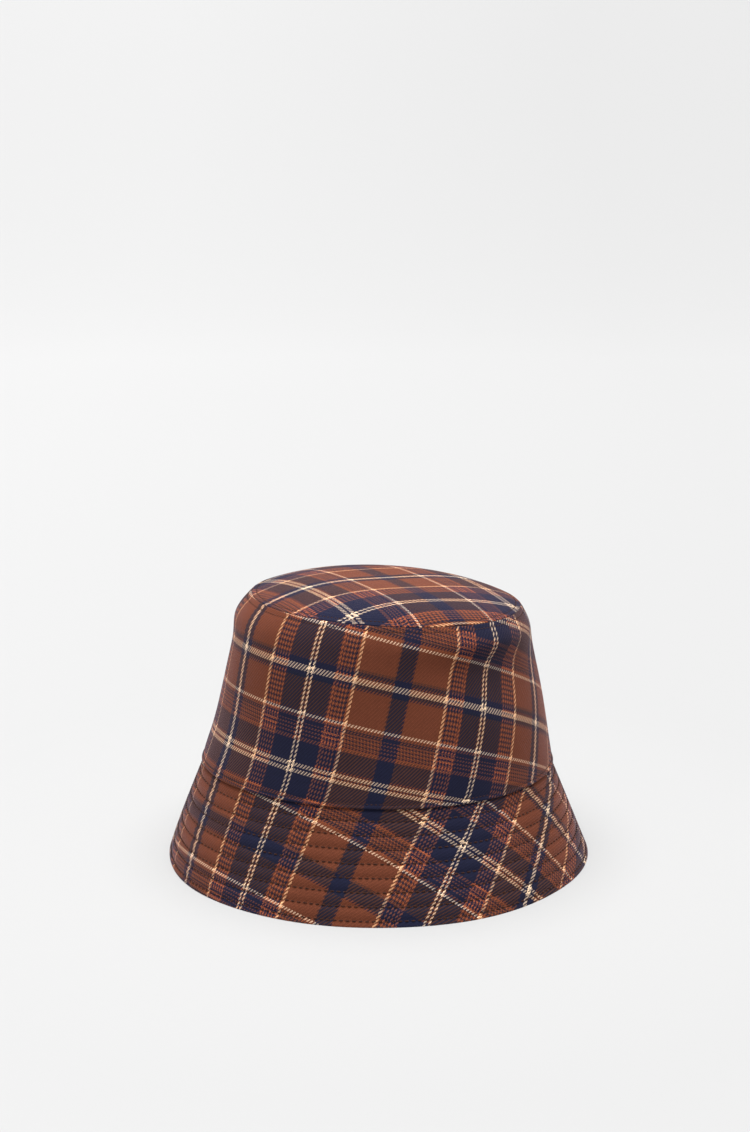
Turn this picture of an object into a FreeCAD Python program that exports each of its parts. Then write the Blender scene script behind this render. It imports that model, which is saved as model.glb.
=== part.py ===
"""A lined bucket hat in woven cloth, built as the layers and threads that it is sewn from.

Frame: millimetres, +Z up, the hat's front towards -Y, and the origin at the centre of the brim's
edge, which is what the hat stands on. Two walls share one oval seam: the brim, from its edge up to
the seam, and the crown side, from the seam up to the tip. Every layer is a closed band between two
or three ovals of those walls, or a shallow dome over the top one. A layer's depth is how far it
lies inside the outer face of its wall, measured level.
"""
import FreeCAD, Part
import Sketcher
import os

SHEET = "Sizes"

# alias, value in millimetres or degrees, what it is
DIMENSIONS = (
    # the three ovals at the outer face of the cloth
    ("edge_length", 237.0, "brim edge, front to back"),
    ("edge_width", 236.0, "brim edge, side to side"),
    ("edge_back", 0.0, "shift of the oval's centre towards the back"),
    ("edge_height", 0.0, "height of the oval's centre"),
    ("edge_rise", 0.0, "how far the oval's front lies above its centre"),
    ("seam_length", 195.2, "crown side at its lower hem"),
    ("seam_width", 188.4, "crown side at its lower hem"),
    ("seam_back", 1.4, "as for the edge"),
    ("seam_height", 54.4, "as for the edge"),
    ("seam_rise", 2.6, "as for the edge"),
    ("tip_length", 157.2, "crown side at the tip seam"),
    ("tip_width", 152.4, "crown side at the tip seam"),
    ("tip_back", 4.8, "as for the edge"),
    ("tip_height", 145.0, "as for the edge"),
    ("tip_rise", 5.1, "as for the edge"),
    # the layers
    ("cloth", 0.8, "outer twill"),
    ("stiffener", 0.6, "interlining of the brim"),
    ("interfacing", 0.3, "fused backing of the crown"),
    ("lining", 0.4, "plain lining cloth"),
    ("band", 1.0, "sweatband"),
    ("ply_gap", 0.05, "between two layers that lie on each other"),
    ("hem_proud", 0.9, "crown hem outside the top of the brim"),
    ("allowance", 8.0, "brim seam allowance turned up inside the crown"),
    ("fold", 3.0, "brim edge left free of stiffener, where the cloth is turned"),
    ("trim", 3.0, "crown interfacing cut short of the tip seam"),
    # the tip
    ("dome", 8.4, "rise of the tip above its seam"),
    ("dome_start", 60.0, "latitude of the ellipsoid where a dome's foot lies"),
    ("lining_dome", 7.0, "rise of the lining's tip"),
    ("lining_drop", 4.0, "lining's tip seam below the outer one"),
    # the sweatband and the rows of stitches
    ("band_height", 32.0, "sweatband"),
    ("hem_row", 2.3, "topstitch above the crown hem"),
    ("side_row", 2.4, "topstitch below the tip seam"),
    ("tip_row", 2.7, "topstitch inside the tip seam"),
    ("band_row", 2.0, "stitch above the lower edge of the sweatband"),
    ("brim_row_first", 3.2, "first brim row from the edge"),
    ("brim_row_pitch", 7.1, "brim row to brim row"),
    ("thread", 0.45, "width of a stitched thread"),
    ("thread_stand", 0.3, "how far it stands above the cloth"),
    ("thread_gap", 0.03, "between the thread and the cloth"),
    # the two labels that hang from the lining's tip seam
    ("tape", 0.5, "folded label tape"),
    ("tape_clear", 1.3, "between the middle of a hanging label's top and the lining"),
    ("tape_below", 0.6, "a label's top edge below the lining's tip seam"),
    ("tape_corner", 1.5, "rounded lower corners of a label"),
    ("care_width", 22.0, "care label"),
    ("care_drop", 42.0, "care label"),
    ("care_turn", 0.0, "where the care label hangs, round from the back"),
    ("size_width", 12.0, "size tab"),
    ("size_drop", 16.0, "size tab"),
    ("size_turn", 26.0, "where the size tab hangs, round from the back"),
)
FIELDS = ("length", "width", "back", "height", "rise")
BRIM = ("edge", "seam")
CROWN = ("seam", "tip")
BRIM_ROWS = 8

doc = FreeCAD.newDocument("bucket_hat")
nodes = []


def make_sheet():
    sheet = doc.addObject("Spreadsheet::Sheet", SHEET)
    for row, (alias, value, note) in enumerate(DIMENSIONS, start=1):
        sheet.set(f"A{row}", alias)
        sheet.set(f"B{row}", str(value))
        sheet.set(f"C{row}", note)
        sheet.setAlias(f"B{row}", alias)
    doc.recompute()


def dim(alias):
    """A cell of the sheet, as an expression."""
    return f"{SHEET}.{alias}"


def total(*terms):
    return "(" + " + ".join(terms) + ")"


# How deep each layer starts below its wall's outer face. The brim's three layers turn up inside the
# crown, so the lining and the sweatband lie inside all of them.
UPPER_DEPTH = "0"
STIFFENER_DEPTH = total(dim("cloth"), dim("ply_gap"))
UNDER_DEPTH = total(STIFFENER_DEPTH, dim("stiffener"), dim("ply_gap"))
INTERFACING_DEPTH = total(dim("cloth"), dim("ply_gap"))
LINING_DEPTH = total(dim("hem_proud"), UNDER_DEPTH, dim("cloth"), dim("ply_gap"))
BAND_DEPTH = total(LINING_DEPTH, dim("lining"), dim("ply_gap"))


def slant(wall):
    """The mean length of a wall from its lower oval to its upper one."""
    low, high = wall
    rise = f"({dim(high + '_height')} - {dim(low + '_height')})"
    run = f"(({dim(high + '_length')} - {dim(low + '_length')}) / 2)"
    return f"sqrt({rise} * {rise} + {run} * {run})"


def oval_on(wall, distance):
    """The oval at a distance up a wall's slant, as one expression per field and for its tilt."""
    low, high = wall
    share = f"({distance}) / {slant(wall)}"
    oval = {field: f"({dim(f'{low}_{field}')} + ({dim(f'{high}_{field}')} - {dim(f'{low}_{field}')})"
                   f" * {share})" for field in FIELDS}
    lean = f"-asin({oval['rise']} / ({oval['length']} / 2))"
    return dict(oval, tilt=f"rotation(vector(1; 0; 0); {lean})")


def grown(oval, margin):
    """The same oval with its outline moved outwards by a margin."""
    return dict(oval, length=f"({oval['length']} + 2 * ({margin}))",
                width=f"({oval['width']} + 2 * ({margin}))")


def raised(oval, lift):
    return dict(oval, height=f"({oval['height']} + {lift})")


def add_oval(name, oval, depth):
    """A tilted ellipse, its long axis front to back, at a depth inside the given oval."""
    ring = doc.addObject("Part::Ellipse", name)
    ring.setExpression("MajorRadius", f"{oval['length']} / 2 - ({depth})")
    ring.setExpression("MinorRadius", f"{oval['width']} / 2 - ({depth})")
    centre = f"vector(0; {oval['back']}; {oval['height']})"
    turn = f"{oval['tilt']} * rotation(vector(0; 0; 1); 90)"
    ring.setExpression("Placement", f"placement({centre}; {turn})")
    return ring


def add_loft(name, ovals, depth):
    loft = doc.addObject("Part::Loft", name)
    loft.Sections = [add_oval(f"{name}_oval_{i}", oval, depth) for i, oval in enumerate(ovals)]
    loft.Solid = True
    loft.Ruled = True
    return loft


def add_cut(name, base, tool):
    cut = doc.addObject("Part::Cut", name)
    cut.Base = base
    cut.Tool = tool
    cut.Label = name
    nodes.append(cut)


def add_band(name, ovals, outside, inside):
    """A closed band through ovals, from one depth to a greater one."""
    add_cut(name, add_loft(f"{name}_outer", ovals, outside), add_loft(f"{name}_inner", ovals, inside))


def add_layer(name, ovals, depth, thickness):
    add_band(name, ovals, depth, total(depth, dim(thickness)))


def add_cap(name, oval, rise, depth, latitude):
    """An ellipsoid's cap whose foot, at depth 0, is the oval. Depth shrinks it about its centre."""
    start = dim("dome_start")
    radius = f"({dim(rise)} / (1 - sin({start})))"
    foot = f"({radius} * sin({start}))"
    cap = doc.addObject("Part::Ellipsoid", name)
    cap.setExpression("Radius1", f"{radius} - ({depth})")
    cap.setExpression("Radius2", f"{oval['width']} / 2 / cos({start}) - ({depth})")
    cap.setExpression("Radius3", f"{oval['length']} / 2 / cos({start}) - ({depth})")
    cap.setExpression("Angle1", latitude.format(foot=foot, radius=radius, depth=depth))
    cap.Angle2 = 90
    seat = f"placement(vector(0; {oval['back']}; {oval['height']}); {oval['tilt']})"
    drop = f"placement(vector(0; 0; -{foot}); rotation(vector(0; 0; 1); 0))"
    cap.setExpression("Placement", f"{seat} * {drop}")
    return cap


def add_dome(name, oval, rise, depth, thickness):
    """A shallow shell: a cap cut off level with its oval, less a deeper cap of the same centre."""
    level_with_oval = "asin({foot} / ({radius} - ({depth})))"
    well_below = "asin({foot} / ({radius} - ({depth}))) / 2"
    outer = add_cap(f"{name}_outer", oval, rise, depth, level_with_oval)
    inner = add_cap(f"{name}_inner", oval, rise, total(depth, dim(thickness)), well_below)
    add_cut(name, outer, inner)


def add_row(name, wall, distance, face="0"):
    """A row of stitches round a wall, as one thread. Face is the depth of the cloth it lies on."""
    half = f"{dim('thread')} / 2"
    ovals = [oval_on(wall, f"{distance} {sign} {half}") for sign in "-+"]
    add_band(name, ovals, f"{face} - {dim('thread_stand')}", f"{face} - {dim('thread_gap')}")


def make_brim():
    """Upper cloth, stiffener and under cloth, each turned up inside the crown as its allowance."""
    edge = oval_on(BRIM, "0")
    seam = grown(oval_on(BRIM, slant(BRIM)), f"-{dim('hem_proud')}")
    turned_up = grown(oval_on(CROWN, dim("allowance")), f"-{dim('hem_proud')}")
    share = f"{dim('fold')} / {slant(BRIM)}"
    fold = grown(oval_on(BRIM, dim("fold")), f"-{dim('hem_proud')} * {share}")
    add_layer("brim_upper", (edge, seam, turned_up), UPPER_DEPTH, "cloth")
    add_layer("brim_stiffener", (fold, seam, turned_up), STIFFENER_DEPTH, "stiffener")
    add_layer("brim_under", (edge, seam, turned_up), UNDER_DEPTH, "cloth")
    for row in range(BRIM_ROWS):
        distance = f"({dim('brim_row_first')} + {row} * {dim('brim_row_pitch')})"
        face = f"{dim('hem_proud')} * {distance} / {slant(BRIM)}"
        add_row(f"brim_stitch_row_{row + 1}", BRIM, distance, face)


def make_crown():
    """The one-piece side and the oval tip, with their fused backing and three rows of topstitch."""
    tip = oval_on(CROWN, slant(CROWN))
    add_layer("crown_side", (oval_on(CROWN, "0"), tip), "0", "cloth")
    add_dome("crown_tip", tip, "dome", "0", "cloth")
    low = oval_on(CROWN, f"{dim('allowance')} + 1")
    high = oval_on(CROWN, f"{slant(CROWN)} - {dim('trim')}")
    add_layer("side_interfacing", (low, high), INTERFACING_DEPTH, "interfacing")
    add_dome("tip_interfacing", tip, "dome", INTERFACING_DEPTH, "interfacing")
    add_row("crown_hem_topstitch", CROWN, dim("hem_row"))
    add_row("tip_seam_side_topstitch", CROWN, f"{slant(CROWN)} - {dim('side_row')}")
    make_tip_row(tip)


def make_tip_row(tip):
    """The topstitch on the tip, a flat ring laid on the foot of the dome."""
    start = dim("dome_start")
    steepness = (f"({dim('dome')} * cos({start}) * cos({start})"
                 f" / ({tip['width']} / 2 * sin({start}) * (1 - sin({start}))))")
    inner = f"({dim('tip_row')} + {dim('thread')} / 2)"
    outer = f"({dim('tip_row')} - {dim('thread')} / 2)"
    foot = raised(tip, f"({steepness} * {inner} + {dim('thread_gap')})")
    top = raised(foot, dim("thread_stand"))
    add_band("tip_seam_top_topstitch", (foot, top), outer, inner)


def lining_top():
    """The oval where the lining's side meets its tip, on the crown's outer face."""
    return oval_on(CROWN, f"{slant(CROWN)} - {dim('lining_drop')}")


def make_lining():
    hem = oval_on(CROWN, "0")
    add_layer("lining_side", (hem, lining_top()), LINING_DEPTH, "lining")
    add_dome("lining_tip", grown(lining_top(), f"-{LINING_DEPTH}"), "lining_dome", "0", "lining")
    add_layer("sweatband", (hem, oval_on(CROWN, dim("band_height"))), BAND_DEPTH, "band")
    add_row("sweatband_stitch", CROWN, dim("band_row"), f"{BAND_DEPTH} + {dim('band')} + 0.35")


def label_outline(body, name, width, drop):
    """A rectangle that hangs from the middle of its top edge."""
    sketch = body.newObject("Sketcher::SketchObject", f"{name}_outline")
    plane = next(o for o in body.Origin.OriginFeatures if o.Role == "XZ_Plane")
    sketch.AttachmentSupport = (plane, [""])
    sketch.MapMode = "FlatFace"
    corners = [FreeCAD.Vector(*c, 0) for c in ((-1, -2), (1, -2), (1, 0), (-1, 0))]
    for side in range(4):
        sketch.addGeometry(Part.LineSegment(corners[side], corners[(side + 1) % 4]), False)
    for side in range(4):
        sketch.addConstraint(Sketcher.Constraint("Coincident", side, 2, (side + 1) % 4, 1))
        direction = "Horizontal" if side % 2 == 0 else "Vertical"
        sketch.addConstraint(Sketcher.Constraint(direction, side))
    sketch.addConstraint(Sketcher.Constraint("Symmetric", 2, 1, 2, 2, -1, 1))
    for kind, side, size in (("DistanceX", 0, width), ("DistanceY", 1, drop)):
        index = sketch.addConstraint(Sketcher.Constraint(kind, side, 1, side, 2, 2.0))
        sketch.renameConstraint(index, kind)
        sketch.setExpression(f"Constraints.{kind}", size)
    return sketch


def label_seat(turn):
    """Where a label hangs: on the inner face of the lining, facing the middle of the hat."""
    depth = total(LINING_DEPTH, dim("lining"), dim("tape_clear"))
    oval = grown(lining_top(), f"-{depth}")
    half_width = f"({oval['width']} / 2)"
    half_length = f"({oval['length']} / 2)"
    across = f"{half_width} * sin({turn})"
    along = f"{oval['back']} + {half_length} * cos({turn})"
    height = f"{oval['height']} - {oval['rise']} * cos({turn}) - {dim('tape_below')}"
    facing = f"-atan({half_length} * sin({turn}) / ({half_width} * cos({turn})))"
    return f"placement(vector({across}; {along}; {height}); rotation(vector(0; 0; 1); {facing}))"


def make_label(name, kind):
    """A folded tape that hangs straight down, its lower corners rounded."""
    body = doc.addObject("PartDesign::Body", name)
    body.Label = name
    pad = body.newObject("PartDesign::Pad", f"{name}_tape")
    pad.Profile = label_outline(body, name, dim(f"{kind}_width"), dim(f"{kind}_drop"))
    pad.setExpression("Length", dim("tape"))
    doc.recompute()
    lowest = pad.Shape.BoundBox.ZMin
    corners = [f"Edge{i}" for i, edge in enumerate(pad.Shape.Edges, start=1)
               if edge.BoundBox.ZMax < lowest + 0.01 and edge.BoundBox.XLength < 0.01]
    rounding = body.newObject("PartDesign::Fillet", f"{name}_corners")
    rounding.Base = (pad, corners)
    rounding.setExpression("Radius", dim("tape_corner"))
    body.setExpression("Placement", label_seat(dim(f"{kind}_turn")))
    nodes.append(body)


def check_and_write():
    doc.recompute()
    for obj in doc.Objects:
        if "Invalid" in obj.State or "Error" in obj.State:
            raise RuntimeError(f"{obj.Label} failed: {obj.State}")
    os.makedirs("parts", exist_ok=True)
    for node in nodes:
        shape = node.Shape
        if shape.isNull() or not shape.isValid() or len(shape.Solids) != 1:
            raise RuntimeError(f"{node.Label} is not one valid solid")
        shape.exportStep(f"parts/{node.Label}.step")
        box = shape.BoundBox
        print(f"{node.Label:26} {shape.Volume:10.1f} mm3   z {box.ZMin:7.2f} to {box.ZMax:7.2f}")


make_sheet()
make_brim()
make_crown()
make_lining()
make_label("care_label", "care")
make_label("size_tab", "size")
check_and_write()
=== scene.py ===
"""The looks of a lined bucket hat in woven check cloth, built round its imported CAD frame.

Shapes are worked out in millimetres in the frame's axes (+Z up, the hat's front towards -Y) and
turned into metres where a mesh is made. Two walls share one oval seam: the brim, from its edge up to
the seam, and the crown, from the seam up to the tip. A place on a wall is its turn, the angle round
from the front towards +X, and its climb, the distance up the wall from its lower oval. Every layer
is one closed profile of climbs and depths swept round a wall, so layers follow the same soft shape.
"""
import math

import bpy
import numpy as np
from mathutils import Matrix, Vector


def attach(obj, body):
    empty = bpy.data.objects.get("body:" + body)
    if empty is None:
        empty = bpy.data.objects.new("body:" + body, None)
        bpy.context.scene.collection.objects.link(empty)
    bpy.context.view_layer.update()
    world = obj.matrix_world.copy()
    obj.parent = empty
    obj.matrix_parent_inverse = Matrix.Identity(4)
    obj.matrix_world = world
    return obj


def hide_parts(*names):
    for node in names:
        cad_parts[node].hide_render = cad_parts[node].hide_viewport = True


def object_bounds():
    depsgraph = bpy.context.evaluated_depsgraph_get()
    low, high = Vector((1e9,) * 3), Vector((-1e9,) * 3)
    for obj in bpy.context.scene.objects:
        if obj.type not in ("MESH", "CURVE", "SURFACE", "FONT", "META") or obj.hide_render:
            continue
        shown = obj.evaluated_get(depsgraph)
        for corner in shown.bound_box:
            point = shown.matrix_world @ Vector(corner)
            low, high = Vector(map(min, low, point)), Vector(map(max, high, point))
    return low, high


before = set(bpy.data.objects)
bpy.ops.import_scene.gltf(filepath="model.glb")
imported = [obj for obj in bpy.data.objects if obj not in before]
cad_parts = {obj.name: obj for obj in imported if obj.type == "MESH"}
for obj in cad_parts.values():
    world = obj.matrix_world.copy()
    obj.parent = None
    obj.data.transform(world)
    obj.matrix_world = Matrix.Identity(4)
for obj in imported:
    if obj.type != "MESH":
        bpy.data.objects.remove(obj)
cad_low, cad_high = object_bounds()

MM = 0.001
TAU = 2 * math.pi

# Columns round each swept or domed piece. The layers that hardly show take the coarse ones.
BRIM_COLUMNS = 840
CROWN_COLUMNS = 690
TIP_COLUMNS = 480
COARSE = 280
COARSE_TIP = 160

# The layers' thicknesses, the gap between two of them, how far the crown's hem stands out from the
# brim, and how deep some layers start below the outer face of their wall, as the frame has them.
CLOTH = 0.8
HEM_PROUD = 0.9
PLY_GAP = 0.05
STIFFENER = 0.6
INTERFACING = 0.3
LINING = 0.4
BAND = 1.0
UNDER_DEPTH = CLOTH + STIFFENER + 2 * PLY_GAP
LINING_DEPTH = HEM_PROUD + UNDER_DEPTH + CLOTH + PLY_GAP
BAND_DEPTH = LINING_DEPTH + LINING + PLY_GAP

# Where pieces begin and end: the brim's cloth turned up past its seam, the under cloth's and the
# interlining's edges inside the upper cloth's, the lining's top below the crown's, the sweatband.
ALLOWANCE = 8.0
UNDER_EDGE = 1.2
STIFFENER_EDGE = 3.0
LINING_DROP = 2.0
BAND_HEIGHT = 32.0

# How high the lining's tip rises, how much fuller the crown's tip is than its node, and how far in
# the crown's shoulder rounds off over how long a reach below the tip seam.
LINING_DOME = 7.0
TIP_FULLNESS = 1.6
SHOULDER = 3.0
SHOULDER_REACH = 13.0

# Rows of stitches: how far each lies from the edge or seam beside it, and its stitches' pitch.
HEM_ROW = 2.3
SIDE_ROW = 2.4
TIP_ROW = 2.7
BAND_ROW = 2.0
BRIM_ROWS = 8
BRIM_ROW_FIRST = 3.2
BRIM_ROW_PITCH = 7.1
HEM_STITCH = 2.3
TIP_STITCH = 2.1
BAND_STITCH = 3.0
BRIM_STITCH = 3.4

# The threads' thickness, the share of its pitch that a stitch covers, and how deep a row lies.
THREAD = 0.5
BRIM_THREAD = 0.66
COVERED = 0.72
BRIM_COVERED = 0.7
BAND_COVERED = 2.2 / 3.0
ROW_SUNK = 0.25
BRIM_ROW_SUNK = 0.32

# The dips along rows and seams: how far to each side they reach, and how deep they are.
ROW_REACH = 0.9
HEM_DIP = 0.3
TIP_DIP = 0.28
QUILT_REACH = 1.4
QUILT_DIP = 0.55
SEAM_REACH = 0.8
SEAM_DIP = 0.5
BACK_SEAM_REACH = 0.9
BACK_SEAM_DIP = 0.45

# The crown's hem stands out in a small lip.
LIP = 0.45
LIP_CLIMB = 0.6
LIP_REACH = 1.0

# The tip seam: each cloth rolls over into a narrow gap between them.
TIP_ROLL = 0.7
TIP_GAP = 0.05

# The labels' tape, and how far each one's free end curls out from the lining.
LABEL_THICK = 0.3
LABEL_CORNER = 1.5
LABEL_CUP = 0.3
CARE_LABEL_CURL = 1.6
SIZE_TAB_CURL = 0.8


# -------- the frame's ovals

def node_points(node):
    """A CAD node's vertices, in millimetres."""
    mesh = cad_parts[node].data
    flat = np.empty(3 * len(mesh.vertices))
    mesh.vertices.foreach_get("co", flat)
    return flat.reshape(-1, 3) / MM


class Oval:
    """A tilted oval, its long axis front to back."""

    def __init__(self, half_width, half_length, back, height, rise):
        self.half_width = half_width
        self.half_length = half_length
        self.back = back
        self.height = height
        self.rise = rise

    def at(self, turn):
        return np.stack([self.half_width * np.sin(turn),
                         self.back - self.half_length * np.cos(turn),
                         self.height + self.rise * np.cos(turn)], -1)

    def grown(self, margin):
        return Oval(self.half_width + margin, self.half_length + margin, self.back, self.height,
                    self.rise)


def outer_rim(node):
    """The oval through the frontmost and backmost points of a node."""
    points = node_points(node)
    front = points[points[:, 1].argmin()]
    back = points[points[:, 1].argmax()]
    return Oval(abs(points[:, 0]).max(), (back[1] - front[1]) / 2, (back[1] + front[1]) / 2,
                (back[2] + front[2]) / 2, (front[2] - back[2]) / 2)


EDGE = outer_rim("brim_upper")
SEAM = outer_rim("crown_side")
TIP = outer_rim("crown_tip")

TURNS = np.linspace(-math.pi, math.pi, 1441)


def arc_lengths(oval):
    """The length round an oval from the front to each of the TURNS."""
    steps = np.linalg.norm(np.diff(oval.at(TURNS), axis=0), axis=1)
    lengths = np.concatenate([[0.0], np.cumsum(steps)])
    return lengths - np.interp(0.0, TURNS, lengths)


SEAM_LENGTHS = arc_lengths(SEAM)


def seam_length(turn):
    """How far round the seam a turn is from the front, in millimetres."""
    return np.interp(turn, TURNS, SEAM_LENGTHS)


# -------- the soft shape

def bump(value, centre, half_width):
    """1 at the centre, fading out smoothly on both sides."""
    return np.exp(-((value - centre) / half_width) ** 2)


def angle_from(turn, centre):
    """The angle from one turn to another, at most half a circle either way."""
    return (turn - centre + math.pi) % TAU - math.pi


def lobe(turn, centre, half_width):
    """1 at a turn, fading out round the hat on both sides. Angles in degrees."""
    return bump(np.degrees(angle_from(turn, math.radians(centre))), 0.0, half_width)


# The crown's dents and bulges: how far each stands out, its middle and half width round the hat in
# degrees, and its middle and half height up the wall, counted down from the tip seam if below 0.
CROWN_SWELLS = (
    (2.2, -32, 42, -12, 9),
    (3.6, 104, 30, -11, 8),
    (1.8, 12, 30, 66, 18),
    (-3.6, 110, 28, 66, 17),
    (3.2, -10, 32, 0, 17),
    (-2.2, 205, 28, 50, 20),
    (1.2, 250, 26, 62, 22),
)


def crown_swell(turn, climb):
    """How far out the crown side stands from its ruled wall, in millimetres."""
    top = CROWN.slant
    arch = np.sin(math.pi * np.clip(climb / top, 0, 1))
    rounding = SHOULDER * (1 + 0.5 * lobe(turn, -32, 42))
    shoulder = -rounding * np.clip((climb - top + SHOULDER_REACH) / SHOULDER_REACH, 0, 1.1) ** 2
    belly = 0.5 * arch ** 2
    lean = 0.3 * np.sin(3 * turn + 0.8) * arch
    total = belly + shoulder
    for out, middle, width, height, reach in CROWN_SWELLS:
        from_hem = height if height >= 0 else top + height
        total = total + out * lobe(turn, middle, width) * bump(climb, from_hem, reach)
    return total + lean


def brim_swell(turn, climb):
    """How far out the brim stands from its ruled wall. Past the seam it follows the crown.

    Its edge is a little wavy.
    """
    share = np.clip(climb / BRIM.slant, 0, 1)
    wave = 0.35 * np.sin(5 * turn + 0.6) + 0.25 * np.sin(8 * turn + 2.0)
    from_edge = 1 - (1 - share) ** 3
    followed = crown_swell(turn, np.maximum(climb - BRIM.slant, 0))
    return wave * (1 - share) + followed * from_edge


# Half the steps over which a surface's slopes are taken, in millimetres and in radians.
STEP = 0.4
TURN_STEP = STEP / 100
DOME_TURN_STEP = 0.01


def unit(vectors):
    return vectors / np.linalg.norm(vectors, axis=-1, keepdims=True)


class Wall:
    """A ruled surface between two ovals, and past its upper one along the wall it turns up into."""

    def __init__(self, low, high, swell, turned_up=None):
        self.low = low
        self.high = high
        self.swell = swell
        self.turned_up = turned_up
        self.slant = np.linalg.norm(high.at(TURNS) - low.at(TURNS), axis=1).mean()

    def ruled(self, turn, climb):
        share = (climb / self.slant)[..., None]
        points = self.low.at(turn) * (1 - share) + self.high.at(turn) * share
        if self.turned_up is None:
            return points
        above = self.turned_up.ruled(turn, climb - self.slant)
        return np.where(share > 1, above, points)

    def soft(self, turn, climb):
        """The outer face: the ruled wall with its swells."""
        outwards = np.stack([np.sin(turn), -np.cos(turn), np.zeros_like(turn)], -1)
        return self.ruled(turn, climb) + outwards * self.swell(turn, climb)[..., None]

    def at(self, turn, climb, depth):
        """A point at a depth below the outer face."""
        turn, climb, depth = np.broadcast_arrays(turn, climb, depth)
        round_it = self.soft(turn + TURN_STEP, climb) - self.soft(turn - TURN_STEP, climb)
        up_it = self.soft(turn, climb + STEP) - self.soft(turn, climb - STEP)
        return self.soft(turn, climb) - unit(np.cross(round_it, up_it)) * depth[..., None]


CROWN = Wall(SEAM, TIP, crown_swell)
INSIDE_CROWN = Wall(SEAM.grown(-HEM_PROUD), TIP.grown(-HEM_PROUD), crown_swell)
BRIM = Wall(EDGE, SEAM.grown(-HEM_PROUD), brim_swell, INSIDE_CROWN)


class Dome:
    """A tip: a shallow dome whose rim is a ring of the crown's wall.

    Inset is how far a place lies inside the rim. Fullness makes the dome flat-topped, more on the
    right and less at the front.
    """

    def __init__(self, climb, depth, rise):
        self.rim = CROWN.at(TURNS, np.full_like(TURNS, climb), depth)
        self.middle = (self.rim.max(axis=0) + self.rim.min(axis=0)) / 2
        self.rise = rise
        self.radius = np.linalg.norm((self.rim - self.middle)[:, :2], axis=1).mean()

    def soft(self, turn, inset):
        share = 1 - inset / self.radius
        turned = angle_from(turn, 0.0)
        rim = np.stack([np.interp(turned, TURNS, self.rim[:, axis]) for axis in range(3)], -1)
        points = self.middle + (rim - self.middle) * share[..., None]
        inside = np.clip(share, 0, 1)
        fullness = 3.3 + (2.2 * lobe(turn, 72, 36) - 1.0 * lobe(turn, -12, 44)) * inside ** 2
        lift = self.rise * (1 - inside ** fullness)
        points[..., 2] += lift + tip_swell(points[..., 0], points[..., 1]) * (1 - share ** 2)
        return points

    def at(self, turn, inset, depth):
        """A point at a depth below the outer face. Its slope is taken clear of the middle."""
        turn, inset, depth = np.broadcast_arrays(turn, inset, depth)
        near = np.minimum(inset, self.radius - 0.5)
        inwards = self.soft(turn, near + STEP) - self.soft(turn, near - STEP)
        round_it = self.soft(turn + DOME_TURN_STEP, near) - self.soft(turn - DOME_TURN_STEP, near)
        return self.soft(turn, inset) - unit(np.cross(round_it, inwards)) * depth[..., None]


def tip_swell(across, along):
    """How far the tip stands above its even dome. All lengths are in millimetres."""
    half = 78.6
    u, v = across / half, along / half
    return -0.9 * u - 0.9 * v - 2.6 * u * v - 0.8 * (u * u - v * v)


# -------- the cut of the cloth

class Pattern:
    """Where a wall's panel lies on the flat cloth: a ring's part, its lowest point at the front.

    Radius is that of the seam line on the cloth, and (across, down) the seam's front, from a cream
    stripe of the warp and one of the weft. Outwards is 1 for the brim, -1 for the crown.
    """

    def __init__(self, radius, across, down, outwards):
        self.radius = radius
        self.across = across
        self.down = down
        self.outwards = outwards

    def at(self, turn, from_seam):
        angle = seam_length(turn) / self.radius
        rho = self.radius + self.outwards * from_seam
        return np.stack([self.across + rho * np.sin(angle),
                         self.down + rho * np.cos(angle) - self.radius], -1)


CROWN_PATTERN = Pattern(radius=527.0, across=2.2, down=70.5, outwards=-1)
BRIM_PATTERN = Pattern(radius=214.5, across=6.2, down=80.0, outwards=1)

# Where the hat's middle lies on the tip's flat cloth, its front further down.
TIP_CLOTH = (1.0, 106.7)


# -------- meshes

def new_mesh(name, points, faces, uv_layers):
    """A smooth mesh object in metres. Each UV layer has one pair for each corner of each face."""
    mesh = bpy.data.meshes.new(name)
    mesh.from_pydata((points * MM).tolist(), [], faces)
    for layer_name, corners in uv_layers.items():
        layer = mesh.uv_layers.new(name=layer_name)
        layer.data.foreach_set("uv", corners.astype(np.float32).ravel())
    mesh.polygons.foreach_set("use_smooth", [True] * len(mesh.polygons))
    mesh.update()
    obj = bpy.data.objects.new(name, mesh)
    bpy.context.scene.collection.objects.link(obj)
    return obj


def grid_faces(columns, rows):
    """Quads of a grid closed both ways, with the column and row of each of their corners."""
    column, row = np.meshgrid(np.arange(columns), np.arange(rows), indexing="ij")
    corner_columns = np.stack([column, column + 1, column + 1, column], -1).reshape(-1, 4)
    corner_rows = np.stack([row, row, row + 1, row + 1], -1).reshape(-1, 4)
    faces = (corner_columns % columns) * rows + corner_rows % rows
    return faces, corner_columns, corner_rows


def strip_layout(column, row, columns, weights, strips):
    """The texture layout of a swept layer: its length cut into strips that lie over each other."""
    places = np.concatenate([[0.0], np.cumsum(weights)]) / np.sum(weights)
    per_strip = columns / strips
    first = column.min(axis=1, keepdims=True)
    strip = np.minimum(first // per_strip, strips - 1)
    margin = 0.004
    u = margin + (1 - 2 * margin) * (column - strip * per_strip) / per_strip
    v = (strip + margin + (1 - 2 * margin) * places[row]) / strips
    return np.stack([u, v], -1)


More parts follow.
